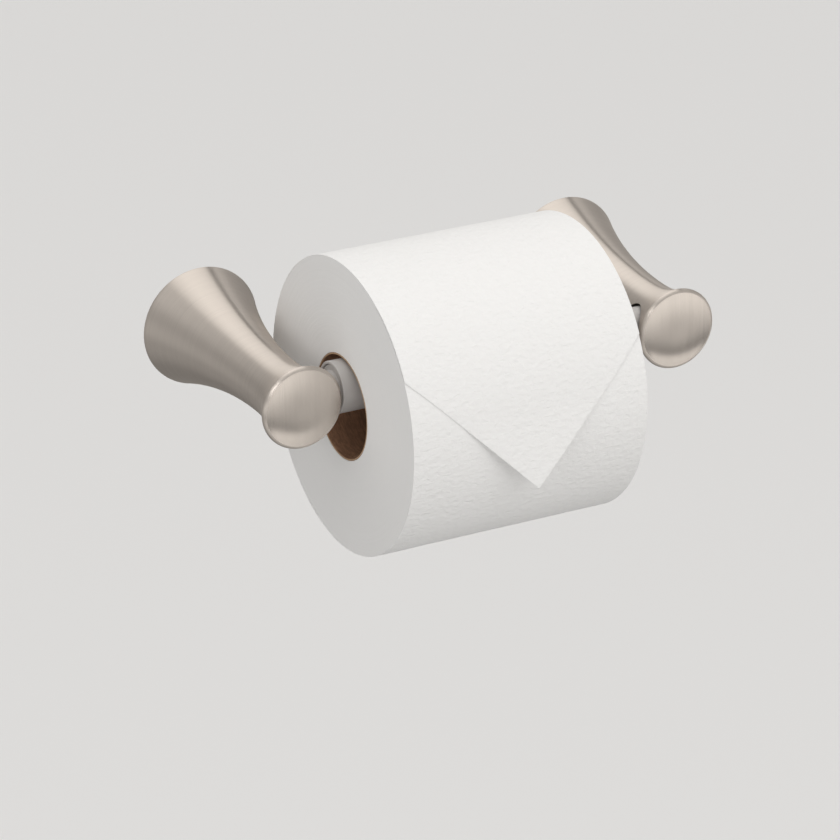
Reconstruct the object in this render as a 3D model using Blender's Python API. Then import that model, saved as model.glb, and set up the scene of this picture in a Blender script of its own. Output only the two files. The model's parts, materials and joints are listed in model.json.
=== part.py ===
"""Two-post toilet paper holder with a spring-loaded roller and a full roll of paper.

Frame: metres, +X along the roller to the right, +Y into the wall, +Z up. The wall's face is the
plane y = 0, and the origin lies on it midway between the posts, level with their axes.

A turned piece is modelled about its own Z axis, from an outline of (radius, height) points. An empty
turns that axis to where the piece belongs: out of the wall for what belongs to a post, along +X for
the roller and the paper.
"""

import math

import bmesh
import bpy
from mathutils import Matrix

GAP = 0.0003  # kept between pieces that touch

# Widths along the roller
PAPER_WIDTH = 0.1016  # a standard sheet
POST_CLEARANCE = 0.0322  # from the end of a centred roll to a post's axis
POST_SPACING = PAPER_WIDTH + 2 * POST_CLEARANCE  # between the posts' axes

# Posts: heights are distances from the wall
BASE_RADIUS = 0.0246
BASE_LIP = 0.0008  # straight edge of the base next to the wall
WAIST_RADIUS = 0.0121
WAIST_SETBACK = 0.0216  # from the cap's widest plane back to the waist
CAP_RADIUS = 0.0168
CAP_REACH = 0.0896  # to the widest plane of the cap
CAP_EDGE_RADIUS = 0.0014
CAP_CROWN = 0.0008  # how far the cap's face domes out
NECK_POWER = 2.5  # how late the neck flares out into the cap
NECK_ANGLE = math.radians(28)  # slope at which the neck meets the cap's rounded edge
POST_WALL = 0.003
HOLLOW_SETBACK = 0.022  # from the waist back to the end of the post's hollow
POST_SEGMENTS = 36

# Concealed wall brackets
BRACKET_RADIUS = 0.017  # at the front of the undercut rim
BRACKET_UNDERCUT = 0.0015
BRACKET_DEPTH = 0.008
BRACKET_RIM = 0.0024
BRACKET_WEB = 0.0025
HEAD_CLEARANCE = 0.0034  # between a screw's head and the bracket's rim

# Screws that hold the brackets, and their wall plugs
SCREW_RADIUS = 0.0021
SCREW_LENGTH = 0.022  # under the head
SCREW_POINT = 0.005
SCREW_HEAD_RADIUS = 0.0037
SCREW_HEAD_HEIGHT = 0.0022
SCREW_DRIVE_WIDTH = 0.0009
SCREW_DRIVE_SPAN = 0.0042
SCREW_DRIVE_DEPTH = 0.0012
PLUG_WALL = 0.0013
PLUG_LENGTH = 0.019
PLUG_COLLAR = 0.0008  # how far the collar and the ribs stand out
PLUG_RIBS = 3
PLUG_SLOT_WIDTH = 0.0009
PLUG_SLOT_SHARE = 0.6  # of the plug's length that is split

# Set screws under the bases
SET_SCREW_RADIUS = 0.002
SET_SCREW_LENGTH = 0.005
SET_SCREW_REACH = 0.0045  # from the wall to its axis
SET_SCREW_CHAMFER = 0.0005
HEX_FLATS = 0.002
HEX_DEPTH = 0.0022

# Spring-loaded roller: heights are along +X from the middle of the holder
ROLLER_SETBACK = 0.0112  # from the cap's widest plane back to the roller's axis
END_CLEARANCE = 0.0015  # between a tube's end and the side of the cap
INNER_TUBE_RADIUS = 0.0104
INNER_TUBE_WALL = 0.0012
INNER_TUBE_TAIL = 0.005  # where the inner tube ends inside the outer one
INNER_TUBE_FLOOR = 0.0015
OUTER_TUBE_WALL = 0.0007
OUTER_TUBE_MOUTH = -0.020
TUBE_CHAMFER = 0.0003
NOSE_RADIUS = 0.0068
NOSE_ROUND = 0.0018
PLUG_RECESS = 0.0005  # end plug's face below the tube's end
PLUG_SPIGOT = 0.008
SOCKET_PLAY = 0.0012  # all round the nose
SOCKET_FLOOR = 0.0037  # from the post's axis
SPRING_RADIUS = 0.0065  # to the wire's centre
SPRING_WIRE_RADIUS = 0.00055
SPRING_TURNS = 9
ROLLER_SEGMENTS = 36

# Paper roll
PAPER_MARGIN = 0.0059  # from the side of the left cap to the paper
ROLL_RADIUS = 0.0593  # over the last turn
CORE_RADIUS = 0.0212
CORE_WALL = 0.0006
SHEET_THICKNESS = 0.0004  # the last turn, with its folded plies
WINDING_EDGE = 0.0008
FOLD_CORNER = 0.0615  # along the sheet, from the roll's top to where the folds start
LIFT_ANGLE = math.radians(76)  # from the top to where the end hangs clear of the roll
TAIL_START = math.radians(-100)
PAPER_SEGMENTS = 64
CORE_SEGMENTS = 40
TAIL_COLUMNS = 4
TAIL_ROWS = 36

SIDES = {"left": -1, "right": 1}
LEVELS = {"upper": 1, "lower": -1}

# Colour, metallic, roughness
NICKEL = ((0.58, 0.54, 0.50), 1.0, 0.32)
ZINC = ((0.50, 0.50, 0.52), 1.0, 0.45)
STEEL = ((0.42, 0.42, 0.43), 1.0, 0.35)
PLUG_PLASTIC = ((0.55, 0.57, 0.60), 0.0, 0.5)
ROLLER_PLASTIC = ((0.62, 0.61, 0.60), 0.0, 0.38)
CARDBOARD = ((0.30, 0.20, 0.12), 0.0, 0.9)
PAPER = ((0.90, 0.89, 0.87), 0.0, 0.95)


def clear_scene():
    for old in list(bpy.data.objects):
        bpy.data.objects.remove(old, do_unlink=True)


def material(name, look):
    colour, metallic, roughness = look
    made = bpy.data.materials.new(name)
    made.use_nodes = True
    shader = made.node_tree.nodes["Principled BSDF"]
    shader.inputs["Base Color"].default_value = (*colour, 1.0)
    shader.inputs["Metallic"].default_value = metallic
    shader.inputs["Roughness"].default_value = roughness
    return made


def empty(name, location, rotation):
    made = bpy.data.objects.new(name, None)
    made.location = location
    made.rotation_euler = rotation
    bpy.context.collection.objects.link(made)
    return made


def linked(name, shape, parent):
    """Turns a bmesh into an object under the given empty."""
    mesh = bpy.data.meshes.new(name)
    bmesh.ops.recalc_face_normals(shape, faces=shape.faces)
    shape.to_mesh(mesh)
    shape.free()
    mesh.shade_smooth()
    mesh.set_sharp_from_angle(angle=math.radians(35))
    made = bpy.data.objects.new(name, mesh)
    made.parent = parent
    bpy.context.collection.objects.link(made)
    return made


def piece(name, shape, parent, look):
    made = linked(name, shape, parent)
    made.data.materials.append(material(name, look))
    return made


def cutter(name, shape, parent, target):
    """Cuts a shape out of the target; the shape itself is only a guide."""
    made = linked(name, shape, parent)
    made.hide_render = True
    made.display_type = "WIRE"
    cut = target.modifiers.new(name, "BOOLEAN")
    cut.operation = "DIFFERENCE"
    cut.solver = "EXACT"
    cut.object = made


def turned(outline, segments):
    """Spins a closed outline of (radius, height) points about Z."""
    shape = bmesh.new()
    points = [shape.verts.new((radius, 0, height)) for radius, height in outline]
    sides = [shape.edges.new(pair) for pair in zip(points, points[1:])]
    if outline[0][0] > 0 or outline[-1][0] > 0:
        sides.append(shape.edges.new((points[-1], points[0])))
    bmesh.ops.spin(
        shape, geom=points + sides, cent=(0, 0, 0), axis=(0, 0, 1),
        angle=math.tau, steps=segments, use_merge=True,
    )
    bmesh.ops.remove_doubles(shape, verts=shape.verts, dist=1e-7)
    return shape


def rod(radius, low, high, segments, matrix=None):
    """A plain prism or cylinder along Z between two heights."""
    shape = turned([(0, low), (radius, low), (radius, high), (0, high)], segments)
    if matrix:
        shape.transform(matrix)
    return shape


def block(low, high):
    """A box between two corners."""
    shape = bmesh.new()
    bmesh.ops.create_cube(shape, size=1)
    for vert in shape.verts:
        vert.co = [a if side < 0 else b for side, a, b in zip(vert.co, low, high)]
    return shape


def rotation(axis, angle):
    return Matrix.Rotation(angle, 4, axis)


def shift(shape, offset):
    bmesh.ops.translate(shape, verts=shape.verts, vec=offset)


def flipped(outline):
    return [(radius, -height) for radius, height in outline]


def arc(centre, radius, start, end, steps):
    """Points of an arc in an outline; angles in radians from the +radius direction."""
    angles = [start + (end - start) * step / steps for step in range(steps + 1)]
    return [(centre[0] + radius * math.cos(a), centre[1] + radius * math.sin(a)) for a in angles]


# Places that several pieces share

def waist_reach():
    return CAP_REACH - WAIST_SETBACK


def roller_reach():
    """From the wall to the roller's axis."""
    return CAP_REACH - ROLLER_SETBACK


def cap_inside():
    """From the middle of the holder to the side of a cap."""
    return POST_SPACING / 2 - CAP_RADIUS


def tube_half_length():
    """From the middle of the holder to a tube's end."""
    return cap_inside() - END_CLEARANCE


def screw_offset():
    """From a bracket's middle to each of its screws."""
    return BRACKET_RADIUS - BRACKET_RIM - HEAD_CLEARANCE - SCREW_HEAD_RADIUS


def nose_tip():
    return POST_SPACING / 2 - SOCKET_FLOOR - GAP


# Posts

def rim_start():
    """Where the neck meets the cap's rounded edge, as (radius, height)."""
    centre = (CAP_RADIUS - CAP_EDGE_RADIUS, CAP_REACH)
    return arc(centre, CAP_EDGE_RADIUS, -NECK_ANGLE, 0, 1)[0]


def post_radius(height):
    """The trumpet's radius: a parabola from the base to the waist, then the neck's flare."""
    waist = waist_reach()
    if height <= waist:
        share = (waist - height) / (waist - BASE_LIP)
        return WAIST_RADIUS + (BASE_RADIUS - WAIST_RADIUS) * share**2
    rim_radius, rim_height = rim_start()
    share = (height - waist) / (rim_height - waist)
    return WAIST_RADIUS + (rim_radius - WAIST_RADIUS) * share**NECK_POWER


def stretch(low, high, steps):
    return [low + (high - low) * step / steps for step in range(steps + 1)]


def post_outline():
    rim_height = rim_start()[1]
    waist = waist_reach()
    hollow_end = waist - HOLLOW_SETBACK
    base = [(BASE_RADIUS, 0)]
    flare = [(post_radius(h), h) for h in stretch(BASE_LIP, waist, 9)]
    neck = [(post_radius(h), h) for h in stretch(waist, rim_height, 5)[1:-1]]
    face_radius = CAP_RADIUS - CAP_EDGE_RADIUS
    edge = arc((face_radius, CAP_REACH), CAP_EDGE_RADIUS, -NECK_ANGLE, math.pi / 2, 4)
    face_height = CAP_REACH + CAP_EDGE_RADIUS
    shares = stretch(0.75, 0, 3)
    crown = [(face_radius * s, face_height + CAP_CROWN * (1 - s**2)) for s in shares]
    hollow = [(post_radius(h) - POST_WALL, h) for h in stretch(hollow_end, recess_height(), 4)]
    recess = [(recess_radius(), recess_height()), (recess_radius(), 0)]
    return base + flare + neck + edge + crown + [(0, hollow_end)] + hollow + recess


def recess_radius():
    return BRACKET_RADIUS + 2 * GAP


def recess_height():
    return BRACKET_DEPTH + 2 * GAP


def add_post(side, sign, frame):
    """Post with the roller's socket in its neck and the set screw's hole under its base."""
    post = piece(f"{side}_post", turned(post_outline(), POST_SEGMENTS), frame, NICKEL)
    inward = rotation("Y", -sign * math.pi / 2)
    socket = rod(NOSE_RADIUS + SOCKET_PLAY, SOCKET_FLOOR, 2 * CAP_RADIUS, ROLLER_SEGMENTS, inward)
    shift(socket, (0, 0, roller_reach()))
    cutter(f"{side}_socket_cutter", socket, frame, post)
    hole = rod(SET_SCREW_RADIUS + GAP, BRACKET_RADIUS, 2 * BASE_RADIUS, 20, rotation("X", math.pi / 2))
    shift(hole, (0, 0, SET_SCREW_REACH))
    cutter(f"{side}_set_screw_cutter", hole, frame, post)


def add_bracket(side, frame):
    """Cup-shaped bracket: its rim is undercut, so the set screw draws the post to the wall."""
    back = BRACKET_RADIUS - BRACKET_UNDERCUT
    inner = BRACKET_RADIUS - BRACKET_RIM
    outline = [
        (0, 0), (back, 0), (BRACKET_RADIUS, BRACKET_DEPTH), (inner, BRACKET_DEPTH),
        (inner, BRACKET_WEB), (0, BRACKET_WEB),
    ]
    bracket = piece(f"{side}_wall_bracket", turned(outline, 36), frame, ZINC)
    for level, up in LEVELS.items():
        hole = rod(SCREW_RADIUS + GAP, -BRACKET_WEB, 2 * BRACKET_WEB, 16)
        shift(hole, (0, up * screw_offset(), 0))
        cutter(f"{side}_{level}_hole_cutter", hole, frame, bracket)


def add_mounting_screw(name, frame, up):
    """Pan-head wood screw with a cross recess."""
    seat = BRACKET_WEB + GAP
    top = seat + SCREW_HEAD_HEIGHT
    flat = SCREW_HEAD_RADIUS * 0.7
    outline = [
        (0, seat - SCREW_LENGTH), (SCREW_RADIUS, seat - SCREW_LENGTH + SCREW_POINT),
        (SCREW_RADIUS, seat), (SCREW_HEAD_RADIUS, seat), (SCREW_HEAD_RADIUS, seat + SCREW_HEAD_HEIGHT / 2),
        (flat, top), (0, top),
    ]
    shape = turned(outline, 20)
    shift(shape, (0, up, 0))
    screw = piece(name, shape, frame, STEEL)
    for number, (wide, tall) in enumerate([(SCREW_DRIVE_SPAN, SCREW_DRIVE_WIDTH),
                                           (SCREW_DRIVE_WIDTH, SCREW_DRIVE_SPAN)]):
        low = (-wide / 2, up - tall / 2, top - SCREW_DRIVE_DEPTH)
        high = (wide / 2, up + tall / 2, top + SCREW_DRIVE_DEPTH)
        cutter(f"{name}_drive_cutter_{number}", block(low, high), frame, screw)


def wall_plug_outline():
    """Ribbed tube from just behind the wall's face inwards, as negative heights."""
    bore = SCREW_RADIUS + GAP
    body = bore + PLUG_WALL
    rib = body + PLUG_COLLAR
    pitch = PLUG_LENGTH / (PLUG_RIBS + 1)
    outline = [(bore, -GAP), (rib, -GAP), (rib, -GAP - PLUG_COLLAR), (body, -GAP - 2 * PLUG_COLLAR)]
    for number in range(1, PLUG_RIBS + 1):
        height = -GAP - number * pitch
        outline += [(body, height + pitch / 4), (rib, height), (body, height - PLUG_COLLAR / 2)]
    end = -GAP - PLUG_LENGTH
    return outline + [(body, end + pitch / 3), (bore + PLUG_WALL / 2, end), (bore, end)]


def add_wall_plug(name, frame, up):
    """Plastic wall plug: ribbed, and split over its inner part."""
    shape = turned(wall_plug_outline(), 16)
    shift(shape, (0, up, 0))
    plug = piece(name, shape, frame, PLUG_PLASTIC)
    reach = SCREW_HEAD_RADIUS * 2
    slot_start = -GAP - PLUG_LENGTH * (1 - PLUG_SLOT_SHARE)
    low = (-reach, up - PLUG_SLOT_WIDTH / 2, -2 * PLUG_LENGTH)
    high = (reach, up + PLUG_SLOT_WIDTH / 2, slot_start)
    cutter(f"{name}_slot_cutter", block(low, high), frame, plug)


def add_set_screw(side, frame):
    """Grub screw that points up at the bracket's undercut rim, with a hexagon socket below."""
    share = (BRACKET_DEPTH - SET_SCREW_REACH - SET_SCREW_RADIUS) / BRACKET_DEPTH
    tip = BRACKET_RADIUS - BRACKET_UNDERCUT * share + GAP
    end = tip + SET_SCREW_LENGTH
    chamfer = SET_SCREW_CHAMFER
    outline = [
        (0, tip), (SET_SCREW_RADIUS - chamfer, tip), (SET_SCREW_RADIUS, tip + chamfer),
        (SET_SCREW_RADIUS, end - chamfer), (SET_SCREW_RADIUS - chamfer, end), (0, end),
    ]
    downward = rotation("X", math.pi / 2)
    shape = turned(outline, 18)
    shape.transform(downward)
    shift(shape, (0, 0, SET_SCREW_REACH))
    screw = piece(f"{side}_set_screw", shape, frame, STEEL)
    corner = HEX_FLATS / math.sqrt(3)
    key = rod(corner, end - HEX_DEPTH, end + HEX_DEPTH, 6, downward)
    shift(key, (0, 0, SET_SCREW_REACH))
    cutter(f"{side}_hex_cutter", key, frame, screw)


def add_side(side, sign):
    """Everything that belongs to one post."""
    location = (sign * POST_SPACING / 2, 0, 0)
    frame = empty(f"{side}_post_frame", location, (math.pi / 2, 0, 0))
    add_post(side, sign, frame)
    add_bracket(side, frame)
    add_set_screw(side, frame)
    for level, direction in LEVELS.items():
        up = direction * screw_offset()
        add_mounting_screw(f"{side}_{level}_mounting_screw", frame, up)
        add_wall_plug(f"{side}_{level}_wall_plug", frame, up)


# Roller

def outer_tube_bore():
    return INNER_TUBE_RADIUS + GAP


def outer_tube_radius():
    return outer_tube_bore() + OUTER_TUBE_WALL


def inner_tube_bore():
    return INNER_TUBE_RADIUS - INNER_TUBE_WALL


def tube_end(radius, bore, end, outwards):
    """Chamfered end of a tube, from its outer wall to its bore."""
    back = end - outwards * TUBE_CHAMFER
    return [(radius, back), (radius - TUBE_CHAMFER, end), (bore, end)]


def add_inner_tube(frame):
    """Left half: open at the left for its end plug, closed at the right for the spring."""
    bore = inner_tube_bore()
    outline = [(0, INNER_TUBE_TAIL), (INNER_TUBE_RADIUS, INNER_TUBE_TAIL)]
    outline += tube_end(INNER_TUBE_RADIUS, bore, -tube_half_length(), -1)
    outline += [(bore, INNER_TUBE_TAIL - INNER_TUBE_FLOOR), (0, INNER_TUBE_TAIL - INNER_TUBE_FLOOR)]
    piece("roller_inner_tube", turned(outline, ROLLER_SEGMENTS), frame, ROLLER_PLASTIC)


def add_outer_tube(frame):
    """Right half: the inner tube slides in its mouth."""
    radius, bore = outer_tube_radius(), outer_tube_bore()
    outline = tube_end(radius, bore, tube_half_length(), 1)
    outline += reversed(tube_end(radius, bore, OUTER_TUBE_MOUTH, -1))
    piece("roller_outer_tube", turned(outline, ROLLER_SEGMENTS), frame, ROLLER_PLASTIC)


def plug_outline(tube_bore):
    """End plug: a spigot in the tube and a stepped nose with a rounded tip."""
    face = tube_half_length() - PLUG_RECESS
    spigot = tube_bore - GAP
    centre = (NOSE_RADIUS - NOSE_ROUND, nose_tip() - NOSE_ROUND)
    outline = [(0, face - PLUG_SPIGOT), (spigot, face - PLUG_SPIGOT), (spigot, face), (NOSE_RADIUS, face)]
    return outline + arc(centre, NOSE_ROUND, 0, math.pi / 2, 4) + [(0, nose_tip())]


def spring_shape():
    """Compression spring between the inner tube's floor and the right plug."""
    low = INNER_TUBE_TAIL + GAP + SPRING_WIRE_RADIUS
    high = tube_half_length() - PLUG_RECESS - PLUG_SPIGOT - GAP - SPRING_WIRE_RADIUS
    steps = SPRING_TURNS * 10
    curve = bpy.data.curves.new("roller_spring_wire", "CURVE")
    curve.dimensions = "3D"
    curve.bevel_depth = SPRING_WIRE_RADIUS
    curve.bevel_resolution = 1
    curve.use_fill_caps = True
    line = curve.splines.new("POLY")
    line.points.add(steps)
    for step, point in enumerate(line.points):
        angle = math.tau * SPRING_TURNS * step / steps
        height = low + (high - low) * step / steps
        point.co = (SPRING_RADIUS * math.cos(angle), SPRING_RADIUS * math.sin(angle), height, 1)
    return curve


def add_roller():
    frame = empty("roller_axis", (0, -roller_reach(), 0), (0, math.pi / 2, 0))
    add_inner_tube(frame)
    add_outer_tube(frame)
    left = flipped(plug_outline(inner_tube_bore()))
    piece("roller_left_plug", turned(left, ROLLER_SEGMENTS), frame, ROLLER_PLASTIC)
    right = plug_outline(outer_tube_bore())
    piece("roller_right_plug", turned(right, ROLLER_SEGMENTS), frame, ROLLER_PLASTIC)
    spring = bpy.data.objects.new("roller_spring", spring_shape())
    spring.parent = frame
    spring.data.materials.append(material("roller_spring", STEEL))
    bpy.context.collection.objects.link(spring)


# Paper roll: it hangs on the outer tube, so its axis lies below the roller's

def ring_outline(bore, radius, edge):
    """Closed outline of a ring as wide as the paper, with bevelled outer edges."""
    half = PAPER_WIDTH / 2
    return [
        (bore, -half), (radius - edge, -half), (radius, edge - half),
        (radius, half - edge), (radius - edge, half), (bore, half),
    ]


def sheet_point(along, radius):
    """Point of the last turn, as (forward, up) from the roll's axis; along starts at the top."""
    turn = min(along / radius, LIFT_ANGLE)
    free = along - turn * radius
    forward = radius * math.sin(turn) + free * math.cos(turn)
    return forward, radius * math.cos(turn) - free * math.sin(turn)


def tail_shape():
    """The last turn, whose corners are folded back at 45 degrees so that it ends in a point."""
    radius = ROLL_RADIUS - SHEET_THICKNESS
    half = PAPER_WIDTH / 2
    start, tip = TAIL_START * radius, FOLD_CORNER + half
    shape = bmesh.new()
    bmesh.ops.create_grid(shape, x_segments=TAIL_COLUMNS, y_segments=TAIL_ROWS, size=0.5)
    for vert in shape.verts:
        vert.co = (vert.co.x * PAPER_WIDTH, start + (vert.co.y + 0.5) * (tip - start), 0)
    for side in SIDES.values():
        everything = shape.verts[:] + shape.edges[:] + shape.faces[:]
        bmesh.ops.bisect_plane(
            shape, geom=everything, plane_co=(0, tip, 0), plane_no=(side, 1, 0), clear_outer=True,
        )
    for vert in shape.verts:
        forward, up = sheet_point(vert.co.y, radius)
        vert.co = (-up, -forward, vert.co.x)
    return shape


def add_tail(frame):
    tail = piece("paper_tail", tail_shape(), frame, PAPER)
    thicken = tail.modifiers.new("thickness", "SOLIDIFY")
    thicken.thickness = SHEET_THICKNESS
    thicken.offset = outward_offset(tail.data)


def outward_offset(mesh):
    """Solidify offset that grows an open sheet away from the roll's axis."""
    face = mesh.polygons[0]
    outward = face.normal.x * face.center.x + face.normal.y * face.center.y
    return 1.0 if outward > 0 else -1.0


def add_paper_roll():
    drop = CORE_RADIUS - CORE_WALL - outer_tube_radius() - GAP
    middle = PAPER_MARGIN + PAPER_WIDTH / 2 - cap_inside()
    frame = empty("paper_axis", (middle, -roller_reach(), -drop), (0, math.pi / 2, 0))
    core = ring_outline(CORE_RADIUS - CORE_WALL, CORE_RADIUS, CORE_WALL / 3)
    piece("paper_core", turned(core, CORE_SEGMENTS), frame, CARDBOARD)
    winding = ring_outline(CORE_RADIUS + GAP, ROLL_RADIUS - SHEET_THICKNESS - GAP, WINDING_EDGE)
    piece("paper_winding", turned(winding, PAPER_SEGMENTS), frame, PAPER)
    add_tail(frame)


def main():
    clear_scene()
    for side, sign in SIDES.items():
        add_side(side, sign)
    add_roller()
    add_paper_roll()


main()
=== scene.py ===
"""Looks of a two-post toilet paper holder with a spring roller and a full roll of paper.

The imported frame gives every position. Each CAD node is replaced by a finer piece of the same size,
which rides on the same body. Metres, +X along the roller, +Y into the wall, +Z up; the wall's face
is the plane y = 0.
"""

import json
import math
import random

import bmesh
import bpy
from mathutils import Matrix, Vector, noise


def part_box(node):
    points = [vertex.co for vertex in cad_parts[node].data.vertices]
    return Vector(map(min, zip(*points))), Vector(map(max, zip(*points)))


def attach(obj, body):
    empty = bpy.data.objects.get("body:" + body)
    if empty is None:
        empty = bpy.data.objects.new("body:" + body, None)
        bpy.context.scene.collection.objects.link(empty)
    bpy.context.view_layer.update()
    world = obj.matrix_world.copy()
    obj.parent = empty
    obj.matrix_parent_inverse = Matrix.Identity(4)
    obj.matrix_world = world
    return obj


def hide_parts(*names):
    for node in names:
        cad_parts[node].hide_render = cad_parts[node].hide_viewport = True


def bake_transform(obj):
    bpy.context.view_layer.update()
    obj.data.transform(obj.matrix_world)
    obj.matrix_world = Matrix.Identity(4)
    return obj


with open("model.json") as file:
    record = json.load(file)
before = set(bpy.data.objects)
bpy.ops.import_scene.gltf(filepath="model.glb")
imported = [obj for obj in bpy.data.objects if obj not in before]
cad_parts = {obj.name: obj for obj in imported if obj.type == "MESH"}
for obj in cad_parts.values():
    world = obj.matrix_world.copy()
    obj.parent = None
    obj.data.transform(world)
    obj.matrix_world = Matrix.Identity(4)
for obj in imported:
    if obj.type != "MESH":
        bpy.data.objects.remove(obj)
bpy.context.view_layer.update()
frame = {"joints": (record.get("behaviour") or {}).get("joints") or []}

SIDES = {"left": -1, "right": 1}
LEVELS = ("upper", "lower")
MM = 0.001

# Camera
CAMERA_AZIMUTH = math.radians(-28.5)
CAMERA_ELEVATION = math.radians(24.44)
CAMERA_ROLL = math.radians(0.47)
CAMERA_DISTANCE = 1.559
CAMERA_LENS = 170.75
TARGET_SIDE = -0.01935  # from the holder's middle, across the picture
TARGET_UP = -0.02752  # from the holder's middle, up the picture
TARGET_DEPTH = -0.07112  # from the wall's face

# Light: grey levels of the surroundings
PHOTO_SIGHT = Vector((0.430, 0.810, -0.395))  # the way the photo looks at the posts
AROUND_POSTS = (  # by the direction that a post's side faces, in degrees from upright
    (-180, 0.10), (-118, 0.16), (-100, 0.30), (-86, 0.40), (-54, 0.40), (-44, 0.46), (-36, 0.64),
    (-30, 1.16), (-20, 1.44), (-6, 1.32), (3, 1.08), (4.6, 1.04), (5.4, 0.07), (9.0, 0.07),
    (10.2, 0.82), (14, 0.70), (24, 0.44), (38, 0.34), (60, 0.25), (90, 0.18), (180, 0.10),
)
AHEAD = (  # by the height of the direction, from -1 to 1
    (-1, 0.52), (-0.66, 0.80), (-0.515, 1.05), (-0.499, 0.08), (-0.46, 0.30), (-0.41, 0.58),
    (-0.30, 0.96), (-0.18, 1.12), (-0.06, 0.95), (0.08, 0.45), (0.6, 0.55), (1, 0.8),
)
NEAR_WALL = (0.66, 0.90, 1.0, 0.48)  # y of the direction from and to, and the light's share at each
OFF_WALL = (0.2, 0.8, 1.12, 1.0)
IN_FRONT = (0.0, -0.55, 0.0, 1.0)  # where AHEAD takes over from AROUND_POSTS
STUDIO_TINT = (1.0, 0.985, 0.965, 1)
LAMP_TINT = (1, 0.993, 0.985)

FLOOR_LEVEL = -2.2
FLOOR_REACH = 4  # to where the floor starts to rise
FLOOR_SWEEP = 6
FLOOR_RINGS = 24
FLOOR_SEGMENTS = 96

# Posts
BASE_LIP = 0.8 * MM
WAIST_RADIUS = 12.1 * MM
WAIST_SETBACK = 21.6 * MM
CAP_RADIUS = 16.8 * MM
CAP_EDGE_RADIUS = 1.4 * MM
CAP_CROWN = 0.8 * MM
CROWN_POWER = 3  # how late the face curves away
NECK_POWER = 2.5
NECK_ANGLE = math.radians(28)
POST_WALL = 3 * MM
HOLLOW_SETBACK = 22 * MM
POST_SEGMENTS = 192
SOCKET_PLAY = 1.2 * MM
GAP = 0.3 * MM

# Fixings
SCREW_HEAD_HEIGHT = 2.2 * MM
SCREW_SHANK_RADIUS = 2.1 * MM
SCREW_POINT = 5 * MM
SCREW_PITCH = 1.4 * MM
SCREW_THREAD_DEPTH = 0.55 * MM
SET_SCREW_PITCH = 0.7 * MM
SET_SCREW_THREAD_DEPTH = 0.25 * MM
HEX_KEY_RADIUS = 1.155 * MM
HEX_KEY_DEPTH = 2.2 * MM
WALL_PLUG_BORE = 2.4 * MM
WALL_PLUG_RIBS = 3
WALL_PLUG_RIB_HEIGHT = 0.8 * MM

# Roller
TUBE_WALL = 1.2 * MM
OUTER_TUBE_WALL = 0.7 * MM
INNER_TUBE_FLOOR = 1.5 * MM
NOSE_RADIUS = 6.8 * MM
NOSE_ROUND = 1.8 * MM
SPIGOT_LENGTH = 8 * MM  # the end plug's thick part, inside its tube
SPRING_WIRE = 0.55 * MM  # the wire's radius
SPRING_TURNS = 9
SPRING_LENGTH = 44 * MM
ROLLER_SEGMENTS = 96

# Paper
SHEET = 0.12 * MM  # thickness
FOLD_RADIUS = 0.14 * MM
FOLD_CORNER = 61.5 * MM  # along the sheet, from the roll's top to where the folds start
LIFT_ANGLE = math.radians(76)
SHEET_START = math.radians(-332)
SPIRAL_RISE = 0.5 * MM  # of the last turn over its whole way round
LAYER_STEP = 0.42 * MM  # between the edges that show on the roll's ends
PAPER_SEGMENTS = 220
CORE_WALL = 0.6 * MM
CORE_EDGE = 0.12 * MM
SEAM_PITCH = 62 * MM
SEAM_WIDTH = 1.3 * MM
SEAM_DEPTH = 0.12 * MM

JOINTS = {joint["name"]: joint for joint in frame["joints"]}
ROLLER_AXIS = Vector(JOINTS["roller_spin"]["pos_m"])
PAPER_AXIS = Vector(JOINTS["paper_spin"]["pos_m"])


# Camera, lights and floor

def view_axes():
    """The picture's right, up and the direction back to the camera."""
    flat = math.cos(CAMERA_ELEVATION)
    back = Vector((
        math.sin(CAMERA_AZIMUTH) * flat, -math.cos(CAMERA_AZIMUTH) * flat, math.sin(CAMERA_ELEVATION),
    ))
    right = Vector((math.cos(CAMERA_AZIMUTH), math.sin(CAMERA_AZIMUTH), 0))
    return right, back.cross(right), back


def add_camera():
    right, up, back = view_axes()
    target = Vector((0, TARGET_DEPTH, 0)) + right * TARGET_SIDE + up * TARGET_UP
    data = bpy.data.cameras.new("camera")
    data.lens = CAMERA_LENS
    data.clip_start = 0.1
    data.clip_end = 100
    camera = bpy.data.objects.new("camera", data)
    bpy.context.scene.collection.objects.link(camera)
    turn = Matrix((right, up, back)).transposed()
    camera.matrix_world = (
        Matrix.Translation(target + back * CAMERA_DISTANCE) @ turn.to_4x4()
        @ Matrix.Rotation(CAMERA_ROLL, 4, "Z")
    )
    bpy.context.scene.camera = camera


def add_globe(name, place, radius, level, matt):
    """Round lamp that lights matt surfaces only, or shows in shiny ones only.

    The level is the lamp's own grey level."""
    light = bpy.data.lights.new(name, "POINT")
    light.shadow_soft_size = radius
    light.energy = level * 4 * math.pi**2 * radius**2
    light.color = LAMP_TINT
    globe = bpy.data.objects.new(name, light)
    bpy.context.scene.collection.objects.link(globe)
    globe.location = place
    globe.visible_diffuse = matt
    globe.visible_glossy = not matt
    globe.visible_camera = False


def add_lights():
    add_globe("key_light", (0.8, -1.7, 1.5), radius=1.1, level=1.1, matt=True)
    add_globe("left_fill", (-2.6, -0.9, 1.2), radius=0.9, level=1.55, matt=True)
    add_globe("rim_shine", (-1.0, -1.6, 0.75), radius=0.5, level=3.2, matt=False)


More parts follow.
